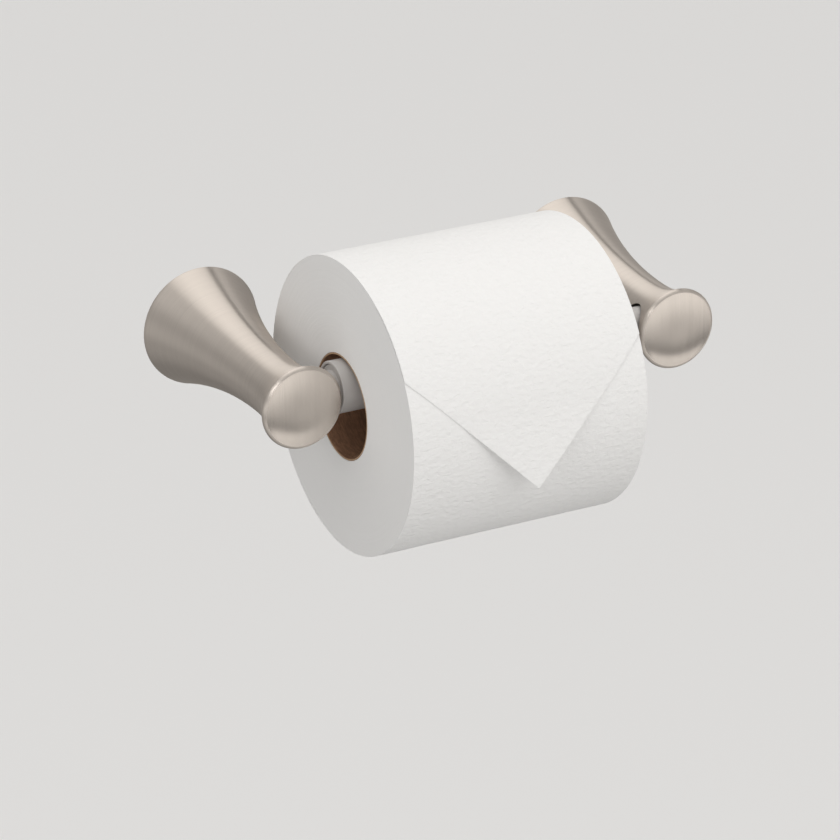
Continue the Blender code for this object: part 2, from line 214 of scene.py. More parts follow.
def add_world():
    """Surroundings of a photo studio, as levels of grey.

    Round the posts' axes the levels depend on the direction in which a post's side has to face to
    show them, so that each edge of the overhead softbox runs straight along a post. In front they
    depend on the height, for the caps' faces."""
    world = bpy.data.worlds.new("studio")
    bpy.context.scene.world = world
    world.use_nodes = True
    tree = world.node_tree
    tree.nodes.clear()
    output = tree.nodes.new("ShaderNodeOutputWorld")
    background = tree.nodes.new("ShaderNodeBackground")
    x, y, z = coordinates(tree, "Generated")
    sideways = maths(tree, "SUBTRACT", x, PHOTO_SIGHT.x)
    upward = maths(tree, "SUBTRACT", z, PHOTO_SIGHT.z)
    facing = maths(tree, "ARCTAN2", sideways, upward)
    degrees = maths(tree, "MULTIPLY", facing, 180 / math.pi)
    around = levels(tree, degrees, -180, 180, AROUND_POSTS)
    near_wall = map_range(tree, y, *NEAR_WALL)
    off_wall = map_range(tree, y, *OFF_WALL)
    around = maths(tree, "MULTIPLY", around, maths(tree, "MULTIPLY", near_wall, off_wall))
    ahead = levels(tree, z, -1, 1, AHEAD)
    front = map_range(tree, y, *IN_FRONT)
    gray = mix_color(tree, front, around, ahead)
    tinted = mix_color(tree, 1.0, gray, STUDIO_TINT)
    tinted.node.blend_type = "MULTIPLY"
    tree.links.new(tinted, background.inputs["Color"])
    tree.links.new(background.outputs[0], output.inputs[0])


def levels(tree, value, low, high, stops):
    """Grey levels between stops of (value, level)."""
    ramp = tree.nodes.new("ShaderNodeValToRGB")
    share = map_range(tree, value, low, high, 0.0, 1.0, smooth=False)
    tree.links.new(share, ramp.inputs[0])
    elements = ramp.color_ramp.elements
    elements.remove(elements[1])
    for number, (place, level) in enumerate(stops):
        at = (place - low) / (high - low)
        element = elements[0] if number == 0 else elements.new(at)
        element.position = at
        element.color = (level, level, level, 1)
    return ramp.outputs[0]


def add_floor():
    """Pale floor well below the holder, which sweeps up all round.

    It lights nothing and shows in nothing."""
    sweep = [
        (FLOOR_REACH + FLOOR_SWEEP * math.sin(a), FLOOR_LEVEL + FLOOR_SWEEP * (1 - math.cos(a)))
        for a in stretch(0, math.pi / 2, FLOOR_RINGS)
    ]
    angles = stretch(0, math.tau, FLOOR_SEGMENTS)[:-1]
    verts = [(r * math.cos(a), r * math.sin(a), z) for r, z in sweep for a in angles]
    faces = [tuple(range(FLOOR_SEGMENTS))]
    for ring in range(FLOOR_RINGS):
        for turn in range(FLOOR_SEGMENTS):
            following = (turn + 1) % FLOOR_SEGMENTS
            a, b = ring * FLOOR_SEGMENTS, (ring + 1) * FLOOR_SEGMENTS
            faces.append((a + turn, b + turn, b + following, a + following))
    mesh = bpy.data.meshes.new("floor")
    mesh.from_pydata(verts, [], faces)
    mesh.shade_smooth()
    floor = bpy.data.objects.new("floor", mesh)
    bpy.context.scene.collection.objects.link(floor)
    look, _, shader = new_look("pale_floor", (0.86, 0.86, 0.86), 0.0, 0.9)
    shader.inputs["Specular IOR Level"].default_value = 0
    mesh.materials.append(look)
    floor.visible_glossy = False
    floor.visible_diffuse = False
    floor.visible_shadow = False


# Node helpers

def new_look(name, color, metallic, roughness):
    look = bpy.data.materials.new(name)
    look.use_nodes = True
    tree = look.node_tree
    shader = tree.nodes["Principled BSDF"]
    shader.inputs["Base Color"].default_value = (*color, 1)
    shader.inputs["Metallic"].default_value = metallic
    shader.inputs["Roughness"].default_value = roughness
    look.diffuse_color = (*color, 1)
    return look, tree, shader


def feed(tree, socket, value):
    if isinstance(value, bpy.types.NodeSocket):
        tree.links.new(value, socket)
    else:
        socket.default_value = value


def maths(tree, operation, a, b=0.0):
    node = tree.nodes.new("ShaderNodeMath")
    node.operation = operation
    feed(tree, node.inputs[0], a)
    feed(tree, node.inputs[1], b)
    return node.outputs[0]


def map_range(tree, value, low, high, to_low, to_high, smooth=True):
    node = tree.nodes.new("ShaderNodeMapRange")
    node.interpolation_type = "SMOOTHSTEP" if smooth else "LINEAR"
    feed(tree, node.inputs["Value"], value)
    for name, number in (("From Min", low), ("From Max", high), ("To Min", to_low), ("To Max", to_high)):
        node.inputs[name].default_value = number
    return node.outputs[0]


def mix_color(tree, factor, a, b):
    node = tree.nodes.new("ShaderNodeMix")
    node.data_type = "RGBA"
    feed(tree, node.inputs[0], factor)
    feed(tree, node.inputs[6], a)
    feed(tree, node.inputs[7], b)
    return node.outputs[2]


def coordinates(tree, kind="Object"):
    """Separate X, Y and Z of the piece's own coordinates."""
    where = tree.nodes.new("ShaderNodeTexCoord")
    parts = tree.nodes.new("ShaderNodeSeparateXYZ")
    tree.links.new(where.outputs[kind], parts.inputs[0])
    return parts.outputs[0], parts.outputs[1], parts.outputs[2]


def combine(tree, x, y, z):
    node = tree.nodes.new("ShaderNodeCombineXYZ")
    for socket, value in zip(node.inputs, (x, y, z)):
        feed(tree, socket, value)
    return node.outputs[0]


def times(tree, value, factor):
    return maths(tree, "MULTIPLY", value, factor)


def distance(tree, a, b):
    """How far (a, b) lies from the axis."""
    squares = maths(tree, "ADD", maths(tree, "MULTIPLY", a, a), maths(tree, "MULTIPLY", b, b))
    return maths(tree, "SQRT", squares)


def grain(tree, vector, scale=1.0, detail=3.0, rough=0.55, distortion=0.0):
    """Noise from 0 to 1 at a place."""
    node = tree.nodes.new("ShaderNodeTexNoise")
    feed(tree, node.inputs["Vector"], vector)
    node.inputs["Scale"].default_value = scale
    node.inputs["Detail"].default_value = detail
    node.inputs["Roughness"].default_value = rough
    node.inputs["Distortion"].default_value = distortion
    return node.outputs[0]


def bump(tree, height, depth, strength=1.0, below=None):
    node = tree.nodes.new("ShaderNodeBump")
    node.inputs["Strength"].default_value = strength
    node.inputs["Distance"].default_value = depth
    feed(tree, node.inputs["Height"], height)
    if below is not None:
        feed(tree, node.inputs["Normal"], below)
    return node.outputs[0]


def shaded(color, share):
    return (*[channel * share for channel in color], 1)


def paint(tree, shader, factor, dark, pale):
    """Lets the base colour vary between two by the factor."""
    tree.links.new(mix_color(tree, factor, dark, pale), shader.inputs["Base Color"])


# Materials

def brushed_nickel(name, tangent_axis, lines, roughness):
    """Satin nickel. The brushing's highlights stretch across its lines."""
    color = (0.69, 0.628, 0.57)
    look, tree, shader = new_look(name, color, 1.0, roughness)
    shader.inputs["Anisotropic"].default_value = 0.95
    shader.inputs["Anisotropic Rotation"].default_value = 0.25
    tangent = tree.nodes.new("ShaderNodeTangent")
    tangent.direction_type = "RADIAL"
    tangent.axis = tangent_axis
    tree.links.new(tangent.outputs[0], shader.inputs["Tangent"])
    where = lines(tree)
    streaks = grain(tree, where, detail=4, rough=0.65)
    broad = grain(tree, where, scale=0.12, detail=2)
    tone = maths(tree, "ADD", times(tree, streaks, 0.7), times(tree, broad, 0.3))
    shade = map_range(tree, tone, 0.3, 0.7, 0.0, 1.0, smooth=False)
    paint(tree, shader, shade, shaded(color, 0.93), shaded(color, 1.05))
    uneven = map_range(tree, streaks, 0.3, 0.7, roughness - 0.015, roughness + 0.02, smooth=False)
    tree.links.new(uneven, shader.inputs["Roughness"])
    tree.links.new(bump(tree, streaks, 0.006 * MM), shader.inputs["Normal"])
    return look


def round_lines(tree):
    """Coordinates whose noise runs round the post's axis in fine lines."""
    x, y, z = coordinates(tree)
    along = maths(tree, "ADD", y, times(tree, distance(tree, x, z), 0.6))
    return combine(tree, times(tree, x, 45), times(tree, along, 3200), times(tree, z, 45))


def upright_lines(tree):
    """Coordinates whose noise runs up a cap's face in fine lines."""
    x, y, z = coordinates(tree)
    return combine(tree, times(tree, x, 3200), times(tree, y, 40), times(tree, z, 60))


def cast_metal(name, color, roughness, grain_size, depth):
    """Bare cast or plated metal with a fine mottled surface."""
    look, tree, shader = new_look(name, color, 1.0, roughness)
    where = tree.nodes.new("ShaderNodeTexCoord").outputs["Object"]
    mottle = grain(tree, where, scale=1 / grain_size, detail=5, rough=0.6)
    pits = grain(tree, where, scale=4 / grain_size, detail=2)
    paint(tree, shader, mottle, shaded(color, 0.8), shaded(color, 1.1))
    uneven = map_range(tree, mottle, 0.3, 0.7, roughness - 0.07, roughness + 0.1)
    tree.links.new(uneven, shader.inputs["Roughness"])
    tree.links.new(bump(tree, pits, depth), shader.inputs["Normal"])
    return look


def moulded_plastic(name, color, roughness, depth):
    """Moulded plastic with a fine satin texture and slight flow marks."""
    look, tree, shader = new_look(name, color, 0.0, roughness)
    x, y, z = coordinates(tree)
    flow = grain(tree, combine(tree, times(tree, x, 0.25), y, z), scale=140, detail=3)
    texture = grain(tree, combine(tree, x, y, z), scale=2600, detail=2)
    paint(tree, shader, flow, shaded(color, 0.95), shaded(color, 1.04))
    uneven = map_range(tree, flow, 0.3, 0.7, roughness - 0.05, roughness + 0.06)
    tree.links.new(uneven, shader.inputs["Roughness"])
    tree.links.new(bump(tree, texture, depth), shader.inputs["Normal"])
    return look


def cardboard():
    """Raw brown board: short fibres and darker flecks."""
    color = (0.33, 0.185, 0.112)
    look, tree, shader = new_look("cardboard", color, 0.0, 0.9)
    shader.inputs["Specular IOR Level"].default_value = 0.2
    x, y, z = coordinates(tree)
    where = combine(tree, times(tree, x, 900), times(tree, y, 260), times(tree, z, 260))
    fibres = grain(tree, where, detail=5, rough=0.7)
    flecks = grain(tree, combine(tree, x, y, z), scale=1500, detail=1)
    shade = map_range(tree, fibres, 0.35, 0.65, 0.0, 1.0)
    tone = mix_color(tree, shade, shaded(color, 0.80), shaded(color, 1.22))
    dark = map_range(tree, flecks, 0.66, 0.74, 0.0, 0.5)
    paint(tree, shader, dark, tone, shaded(color, 0.45))
    tree.links.new(bump(tree, fibres, 0.05 * MM), shader.inputs["Normal"])
    return look


def cardboard_edge():
    """The core's cut ends, where the board is paler and rough."""
    color = (0.50, 0.34, 0.22)
    look, tree, shader = new_look("cardboard_edge", color, 0.0, 0.95)
    shader.inputs["Specular IOR Level"].default_value = 0.1
    where = tree.nodes.new("ShaderNodeTexCoord").outputs["Object"]
    fibres = grain(tree, where, scale=1800, detail=4, rough=0.7)
    paint(tree, shader, fibres, shaded(color, 0.7), shaded(color, 1.2))
    tree.links.new(bump(tree, fibres, 0.08 * MM), shader.inputs["Normal"])
    return look


def tissue_base(name):
    color = (0.90, 0.897, 0.890)
    look, tree, shader = new_look(name, color, 0.0, 0.95)
    shader.inputs["Specular IOR Level"].default_value = 0.15
    shader.inputs["Sheen Weight"].default_value = 0.12
    shader.inputs["Sheen Roughness"].default_value = 0.6
    return look, tree, shader, color


def tissue_sheet():
    """Soft tissue: crepe lines across the sheet and shallow, irregular embossed dimples."""
    look, tree, shader, color = tissue_base("tissue_sheet")
    across, along, _ = coordinates(tree, "UV")
    lines = combine(tree, times(tree, across, 420), times(tree, along, 1500), 0.0)
    crepe = grain(tree, lines, detail=3, rough=0.6)
    hollows = combine(tree, times(tree, across, 330), times(tree, along, 520), 4.0)
    soft = grain(tree, hollows, detail=2, rough=0.5, distortion=0.6)
    cells = tree.nodes.new("ShaderNodeTexVoronoi")
    cells.feature = "SMOOTH_F1"
    cells.inputs["Scale"].default_value = 1.0
    cells.inputs["Randomness"].default_value = 0.9
    cells.inputs["Smoothness"].default_value = 0.6
    where = combine(tree, times(tree, across, 360), times(tree, along, 520), 0.0)
    feed(tree, cells.inputs["Vector"], where)
    dimples = bump(tree, cells.outputs["Distance"], 0.2 * MM)
    waves = bump(tree, soft, 0.4 * MM, below=dimples)
    tree.links.new(bump(tree, crepe, 0.12 * MM, below=waves), shader.inputs["Normal"])
    paint(tree, shader, soft, shaded(color, 0.985), shaded(color, 1.01))
    return look


def tissue_ends():
    """The roll's end faces: hundreds of cut edges in a fine spiral."""
    look, tree, shader, color = tissue_base("tissue_ends")
    x, y, z = coordinates(tree)
    radius = distance(tree, y, z)
    edges = combine(tree, times(tree, radius, 2600), times(tree, y, 30), times(tree, z, 30))
    rings = grain(tree, edges, detail=3, rough=0.6)
    bands = combine(tree, times(tree, radius, 300), times(tree, y, 14), times(tree, z, 14))
    broad = grain(tree, bands, detail=2)
    fuzz = grain(tree, combine(tree, x, y, z), scale=1400, detail=3)
    tone = mix_color(tree, rings, shaded(color, 0.975), shaded(color, 1.0))
    shade = map_range(tree, broad, 0.35, 0.65, 0.0, 0.3)
    paint(tree, shader, shade, tone, shaded(color, 0.975))
    fine = bump(tree, fuzz, 0.05 * MM)
    tree.links.new(bump(tree, rings, 0.02 * MM, below=fine), shader.inputs["Normal"])
    return look


# Mesh helpers

def filleted(corners, steps=5):
    """Outline through (radius, height, fillet) corners, each rounded by its fillet.

    An outline whose first corner lies on the axis runs from axis to axis; any other is closed."""
    closed = corners[0][0] > 0
    points = []
    count = len(corners)
    for index, (radius, height, fillet) in enumerate(corners):
        here = Vector((radius, height))
        if fillet == 0 or (not closed and index in (0, count - 1)):
            points.append((radius, height))
            continue
        before = Vector(corners[index - 1][:2]) - here
        after = Vector(corners[(index + 1) % count][:2]) - here
        bend = before.angle(after)
        reach = min(fillet / math.tan(bend / 2), 0.49 * before.length, 0.49 * after.length)
        start, end = here + before.normalized() * reach, here + after.normalized() * reach
        for step in range(steps + 1):
            t = step / steps
            point = start * (1 - t) ** 2 + here * 2 * t * (1 - t) + end * t ** 2
            points.append((point.x, point.y))
    return points


def stretch(low, high, steps):
    return [low + (high - low) * step / steps for step in range(steps + 1)]


def turned(name, outline, segments, place):
    """Object whose mesh is an outline of (radius, height) points spun about Z, then placed."""
    verts, rings = [], []
    for radius, height in outline:
        count = 1 if radius < 1e-7 else segments
        rings.append([len(verts) + turn for turn in range(count)])
        for turn in range(count):
            angle = math.tau * turn / segments
            verts.append(place @ Vector((radius * math.cos(angle), radius * math.sin(angle), height)))
    pairs = list(zip(rings, rings[1:]))
    if len(rings[0]) > 1:
        pairs.append((rings[-1], rings[0]))
    faces = []
    for low, high in pairs:
        for turn in range(segments):
            following = (turn + 1) % segments
            if len(low) == 1 and len(high) == 1:
                continue
            if len(low) == 1:
                faces.append((low[0], high[following], high[turn]))
            elif len(high) == 1:
                faces.append((low[turn], low[following], high[0]))
            else:
                faces.append((low[turn], low[following], high[following], high[turn]))
    return mesh_object(name, verts, faces)


def mesh_object(name, verts, faces):
    mesh = bpy.data.meshes.new(name)
    mesh.from_pydata(verts, [], faces)
    shape = bmesh.new()
    shape.from_mesh(mesh)
    bmesh.ops.recalc_face_normals(shape, faces=shape.faces)
    shape.to_mesh(mesh)
    shape.free()
    made = bpy.data.objects.new(name, mesh)
    bpy.context.scene.collection.objects.link(made)
    return made


def apply_modifiers(piece):
    """Replaces the piece's mesh with its evaluated one."""
    graph = bpy.context.evaluated_depsgraph_get()
    graph.update()
    mesh = bpy.data.meshes.new_from_object(piece.evaluated_get(graph))
    piece.modifiers.clear()
    piece.data = mesh


def cut(piece, *cutters):
    """Takes the cutters' shapes out of the piece."""
    for cutter in cutters:
        modifier = piece.modifiers.new("cut", "BOOLEAN")
        modifier.operation = "DIFFERENCE"
        modifier.solver = "EXACT"
        modifier.object = cutter
    apply_modifiers(piece)
    for cutter in cutters:
        bpy.data.objects.remove(cutter)


def rod(radius, low, high, segments, place):
    return turned("cutter", [(0, low), (radius, low), (radius, high), (0, high)], segments, place)


def smooth(piece, angle=35):
    piece.data.shade_smooth()
    piece.data.set_sharp_from_angle(angle=math.radians(angle))


def settle(piece, origin, body, slot, *nodes):
    """Gives the piece its origin and body, and lets it stand for its CAD nodes. The slot is not used."""
    origin = Vector(origin)
    piece.data.transform(Matrix.Translation(-origin))
    piece.location = origin
    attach(piece, body)
    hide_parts(*nodes)
    return piece


def out_of_wall(side):
    """Places Z-turned shapes on a post's axis, with heights measured out of the wall."""
    low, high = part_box(f"{side}_post")
    return Matrix.Translation(((low.x + high.x) / 2, 0, 0)) @ Matrix.Rotation(math.pi / 2, 4, "X")


def along_roller(axis):
    """Places Z-turned shapes on an axis along +X, with heights measured from x = 0."""
    return Matrix.Translation((0, axis.y, axis.z)) @ Matrix.Rotation(math.pi / 2, 4, "Y")


# Posts

class Post:
    """Sizes that the CAD post gives."""

    def __init__(self, side):
        low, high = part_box(f"{side}_post")
        self.base_radius = (high.z - low.z) / 2
        self.cap_reach = -low.y - CAP_EDGE_RADIUS - CAP_CROWN
        self.waist = self.cap_reach - WAIST_SETBACK
        self.axis = Vector(((low.x + high.x) / 2, 0, 0))
        self.rim_radius = CAP_RADIUS - CAP_EDGE_RADIUS + CAP_EDGE_RADIUS * math.cos(NECK_ANGLE)
        self.rim_height = self.cap_reach - CAP_EDGE_RADIUS * math.sin(NECK_ANGLE)

    def radius(self, height):
        """The trumpet: a parabola from the base to the waist, then the neck's flare."""
        if height <= self.waist:
            share = (self.waist - height) / (self.waist - BASE_LIP)
            return WAIST_RADIUS + (self.base_radius - WAIST_RADIUS) * share**2
        share = (height - self.waist) / (self.rim_height - self.waist)
        return WAIST_RADIUS + (self.rim_radius - WAIST_RADIUS) * share**NECK_POWER

    def outline(self):
        recess_radius = bracket_radius() + 2 * GAP
        recess_height = bracket_depth() + 2 * GAP
        hollow_end = self.waist - HOLLOW_SETBACK
        edge = 0.45 * MM
        base = filleted([
            (recess_radius, recess_height, 0), (recess_radius, 0, 0.3 * MM), (self.base_radius, 0, edge),
            (self.base_radius, BASE_LIP, 0),
        ])[1:-1]
        flare = [(self.radius(h), h) for h in stretch(BASE_LIP, self.waist, 56)]
        neck = [(self.radius(h), h) for h in stretch(self.waist, self.rim_height, 28)[1:-1]]
        face_radius = CAP_RADIUS - CAP_EDGE_RADIUS
        rim = [
            (face_radius + CAP_EDGE_RADIUS * math.cos(a), self.cap_reach + CAP_EDGE_RADIUS * math.sin(a))
            for a in stretch(-NECK_ANGLE, math.radians(84), 14)
        ]
        face_height = self.cap_reach + CAP_EDGE_RADIUS
        crown = [
            (face_radius * share, face_height + CAP_CROWN * (1 - share**CROWN_POWER))
            for share in stretch(0.985, 0, 16)
        ]
        hollow = [(self.radius(h) - POST_WALL, h) for h in stretch(hollow_end, recess_height, 14)]
        recess = [(recess_radius, recess_height)]
        return base + flare + neck + rim + crown + [(0, hollow_end)] + hollow + recess


def bracket_radius():
    low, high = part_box("left_wall_bracket")
    return (high.x - low.x) / 2


def bracket_depth():
    low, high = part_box("left_wall_bracket")
    return high.y - low.y


def add_post(side, sign, looks):
    """Post with the roller's socket in its neck and the set screw's hole under its base."""
    sizes = Post(side)
    place = out_of_wall(side)
    outline = sizes.outline()
    post = turned(f"{side}_post_shell", outline, POST_SEGMENTS, place)
    nose_low, nose_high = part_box(f"roller_{side}_plug")
    tip = min(abs(nose_low.x - sizes.axis.x), abs(nose_high.x - sizes.axis.x))
    across = Matrix.Rotation(-sign * math.pi / 2, 4, "Y")
    inward = place @ Matrix.Translation((0, 0, -ROLLER_AXIS.y)) @ across
    socket = rod(NOSE_RADIUS + SOCKET_PLAY, tip - GAP, 2 * CAP_RADIUS, 96, inward)
    screw_low, screw_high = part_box(f"{side}_set_screw")
    screw = (screw_low + screw_high) / 2
    downward = Matrix.Translation((screw.x, screw.y, 0)) @ Matrix.Rotation(math.pi, 4, "X")
    hole_radius = (screw_high.x - screw_low.x) / 2 + GAP
    hole = rod(hole_radius, bracket_radius(), 2 * sizes.base_radius, 48, downward)
    # the third look is the nickel darkened as painted shade, for the post's insides
    for look in ("nickel", "nickel_face", "nickel_inside_painted_shade"):
        post.data.materials.append(looks[look])
    socket.data.materials.append(looks["nickel_inside_painted_shade"])
    hole.data.materials.append(looks["nickel_inside_painted_shade"])
    cut(post, socket, hole)
    paint_post(post, sizes)
    smooth(post, 30)
    settle(post, sizes.axis, "wall_mount", "satin_nickel", f"{side}_post")


def paint_post(post, sizes):
    """The cap's face is brushed upright, and the hollow, socket and hole get a darker copy of the nickel
    as painted shade.
    """
    face_radius = CAP_RADIUS - CAP_EDGE_RADIUS
    for face in post.data.polygons:
        centre = face.center - sizes.axis
        out = math.hypot(centre.x, centre.z)
        height = -centre.y
        within = 0.3 * MM < height <= sizes.rim_height
        index = 0
        if height > sizes.cap_reach + CAP_EDGE_RADIUS * 0.97 and out < face_radius:
            index = 1
        # index 2: the hollow, socket and hole, painted darker as shade
        elif within and out < sizes.radius(max(height, BASE_LIP)) - 0.5 * MM:
            index = 2
        face.material_index = index


# Fixings

def add_bracket(side, looks):
    """Cup-shaped bracket with an undercut rim and two screw holes."""
    low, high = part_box(f"{side}_wall_bracket")
    radius, depth = (high.x - low.x) / 2, high.y - low.y
    back, inner, web = radius - 1.5 * MM, radius - 2.4 * MM, 2.5 * MM
    outline = filleted([
        (0, 0, 0), (back, 0, 0.4 * MM), (radius, depth, 0.35 * MM), (inner, depth, 0.5 * MM),
        (inner, web, 0.8 * MM), (0, web, 0),
    ])
    place = out_of_wall(side)
    bracket = turned(f"{side}_bracket_cup", outline, 120, place)
    holes = []
    for level in LEVELS:
        screw_low, screw_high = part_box(f"{side}_{level}_mounting_screw")
        height = (screw_low.z + screw_high.z) / 2
        mouth = [
            (0, -web), (2.4 * MM, -web), (2.4 * MM, web - 0.5 * MM), (3.0 * MM, web + 0.1 * MM),
            (3.0 * MM, 2 * web), (0, 2 * web),
        ]
        holes.append(turned("cutter", mouth, 48, place @ Matrix.Translation((0, height, 0))))
    bracket.data.materials.append(looks["zinc"])
    for hole in holes:
        hole.data.materials.append(looks["zinc"])
    cut(bracket, *holes)
    smooth(bracket)
    settle(bracket, place.translation, "wall_mount", "zinc_bracket", f"{side}_wall_bracket")


def threaded(name, profile, pitch, depth, start, end, place, segments=28, per_turn=12):
    """Turned piece whose surface between two heights carries a thread.

    The profile gives the thread's crest radius at a height."""
    verts, faces = [], []
    rows = max(int((end - start) / pitch * per_turn), 2)
    heights = stretch(start, end, rows)
    for height in heights:
        for turn in range(segments):
            angle = math.tau * turn / segments
            phase = (height / pitch - turn / segments) % 1
            crest = max(0.0, 1 - abs(phase - 0.5) * 3.2)
            fade = min(1, (height - start) / pitch, (end - height) / pitch)
            radius = profile(height) - depth * (1 - crest * max(fade, 0))
            verts.append(place @ Vector((radius * math.cos(angle), radius * math.sin(angle), height)))
    for row in range(rows):
        for turn in range(segments):
            following = (turn + 1) % segments
            a, b = row * segments, (row + 1) * segments
            faces.append((a + turn, a + following, b + following, b + turn))
    faces.append(tuple(range(segments)))
    faces.append(tuple(rows * segments + turn for turn in range(segments)))
    return mesh_object(name, verts, faces)


def join(target, *others):
    """Adds the others' meshes to the target's."""
    shape = bmesh.new()
    shape.from_mesh(target.data)
    for other in others:
        shape.from_mesh(other.data)
        bpy.data.objects.remove(other)
    shape.to_mesh(target.data)
    shape.free()


def add_mounting_screw(side, level, looks):
    """Pan-head wood screw: threaded shank, domed head and a cross recess."""
    node = f"{side}_{level}_mounting_screw"
    low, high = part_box(node)
    middle = (low + high) / 2
    place = Matrix.Translation((middle.x, 0, middle.z)) @ Matrix.Rotation(math.pi / 2, 4, "X")
    head_radius = (high.x - low.x) / 2
    top, tip = -low.y, -high.y
    seat = top - SCREW_HEAD_HEIGHT
    head = turned(f"{node}_fine", filleted([
        (0, seat - 3 * MM, 0), (SCREW_SHANK_RADIUS - 0.5 * MM, seat - 3 * MM, 0),
        (SCREW_SHANK_RADIUS - 0.15 * MM, seat, 0.1 * MM),
        (head_radius, seat, 0.2 * MM), (head_radius, seat + 1.0 * MM, 0.9 * MM),
        (0.5 * head_radius, top, 1.5 * MM), (0, top, 0),
    ]), 64, place)
    cross = [cross_cutter(place, top, turn) for turn in (0, math.pi / 2)]
    head.data.materials.append(looks["steel"])
    for cutter in cross:
        cutter.data.materials.append(looks["steel"])
    cut(head, *cross)

    def crest(height):
        return max(SCREW_SHANK_RADIUS * min(1, (height - tip) / SCREW_POINT), 0.35 * MM)

    end = seat - 2.9 * MM
    join(head, threaded("thread", crest, SCREW_PITCH, SCREW_THREAD_DEPTH, tip, end, place))
    smooth(head, 40)
    settle(head, (middle.x, 0, middle.z), "wall_mount", "screw_steel", node)


def cross_cutter(place, top, turn):
    """One tapering slot of a screw's cross recess."""
    wide, thin, deep = 2.1 * MM, 0.45 * MM, 1.3 * MM
    corners = ((-1, -1), (1, -1), (1, 1), (-1, 1))
    low = [(x * wide * 0.35, y * thin * 0.6, top - deep) for x, y in corners]
    high = [(x * wide, y * thin, top + 0.5 * MM) for x, y in corners]
    return prism(low, high, place @ Matrix.Rotation(turn, 4, "Z"))


def add_wall_plug(side, level, looks):
    """Nylon wall plug: collar, barbed ribs, and slots that let it spread."""
    node = f"{side}_{level}_wall_plug"
    low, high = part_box(node)
    middle = (low + high) / 2
    rib = (high.x - low.x) / 2
    place = Matrix.Translation((middle.x, 0, middle.z)) @ Matrix.Rotation(math.pi / 2, 4, "X")
    top, end = -low.y, -high.y
    body = rib - WALL_PLUG_RIB_HEIGHT
    corners = [
        (WALL_PLUG_BORE, top, 0.1 * MM), (rib, top, 0.25 * MM),
        (rib, top - 0.8 * MM, 0.2 * MM), (body, top - 1.6 * MM, 0.3 * MM),
    ]
    pitch = (top - end) / (WALL_PLUG_RIBS + 1)
    for number in range(1, WALL_PLUG_RIBS + 1):
        height = top - number * pitch
        corners += [
            (body, height + pitch * 0.5, 0.3 * MM), (rib, height, 0.12 * MM),
            (body, height - 0.4 * MM, 0.15 * MM),
        ]
    corners += [
        (body, end + pitch / 3, 0.5 * MM), (WALL_PLUG_BORE + 0.5 * MM, end, 0.3 * MM),
        (WALL_PLUG_BORE, end, 0.1 * MM),
    ]
    plug = turned(f"{node}_fine", filleted(corners, 3), 48, place)
    slot_start = top - (top - end) * 0.4
    slot = rounded_slot(place, rib * 2, 0.45 * MM, end - 5 * MM, slot_start)
    plug.data.materials.append(looks["nylon"])
    slot.data.materials.append(looks["nylon"])
    cut(plug, slot)
    smooth(plug, 40)
    settle(plug, (middle.x, 0, middle.z), "wall_mount", "wall_plug_plastic", node)


def rounded_slot(place, reach, half, low, high):
    """Flat cutter with a round end, for a slot across a turned piece."""
    outline = [(-half, low), (half, low)]
    outline += [(half * math.cos(a), high - half + half * math.sin(a)) for a in stretch(0, math.pi, 8)]
    low, high = ([(side * reach, y, z) for y, z in outline] for side in (-1, 1))
    return prism(low, high, place)


def prism(low, high, place):
    """Cutter between two outlines of as many corners."""
    count = len(low)
    verts = [place @ Vector(corner) for corner in low + high]
    faces = [tuple(range(count)), tuple(range(count, 2 * count))]
    faces += [(i, (i + 1) % count, (i + 1) % count + count, i + count) for i in range(count)]
    return mesh_object("cutter", verts, faces)


def add_set_screw(side, looks):
    """Grub screw under the base, with a hexagon socket in its lower end."""
    node = f"{side}_set_screw"
    low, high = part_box(node)
    middle = (low + high) / 2
    radius = (high.x - low.x) / 2
    place = Matrix.Translation((middle.x, middle.y, 0)) @ Matrix.Rotation(math.pi, 4, "X")
    tip, end = -high.z, -low.z
    outline = filleted([
        (0, end - 3 * MM, 0), (radius * 0.7, end - 3 * MM, 0), (radius * 0.95, end - 2.6 * MM, 0),
        (radius * 0.95, end - 0.4 * MM, 0.1 * MM), (radius * 0.8, end, 0.1 * MM), (0, end, 0),
    ])
    screw = turned(f"{node}_fine", outline, 48, place)
    key = rod(HEX_KEY_RADIUS, end - HEX_KEY_DEPTH, end + 1 * MM, 6, place)
    screw.data.materials.append(looks["steel"])
    key.data.materials.append(looks["steel"])
    cut(screw, key)
    join(screw, threaded(
        "thread", lambda _: radius, SET_SCREW_PITCH, SET_SCREW_THREAD_DEPTH, tip, end - 0.4 * MM, place,
    ))
    smooth(screw, 40)
    settle(screw, middle, "wall_mount", "screw_steel", node)


# Roller

def tube_sizes(node):
    """Where the tube starts and ends along the roller, and its radius."""
    low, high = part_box(node)
    return low.x, high.x, (high.z - low.z) / 2


def settle_on_roller(piece, body, node):
    origin = (0, ROLLER_AXIS.y, ROLLER_AXIS.z)
    settle(piece, origin, body, "roller_plastic", node)


def add_inner_tube(looks):
    start, end, radius = tube_sizes("roller_inner_tube")
    bore = radius - TUBE_WALL
    floor = end - INNER_TUBE_FLOOR
    outline = filleted([
        (0, end, 0), (radius, end, 0.4 * MM), (radius, start, 0.5 * MM), (bore, start, 0.3 * MM),
        (bore, floor, 0.6 * MM), (0, floor, 0),
    ], 6)
    tube = turned("roller_inner_tube_fine", outline, ROLLER_SEGMENTS, along_roller(ROLLER_AXIS))
    tube.data.materials.append(looks["roller"])
    smooth(tube)
    settle_on_roller(tube, "roller_inner", "roller_inner_tube")


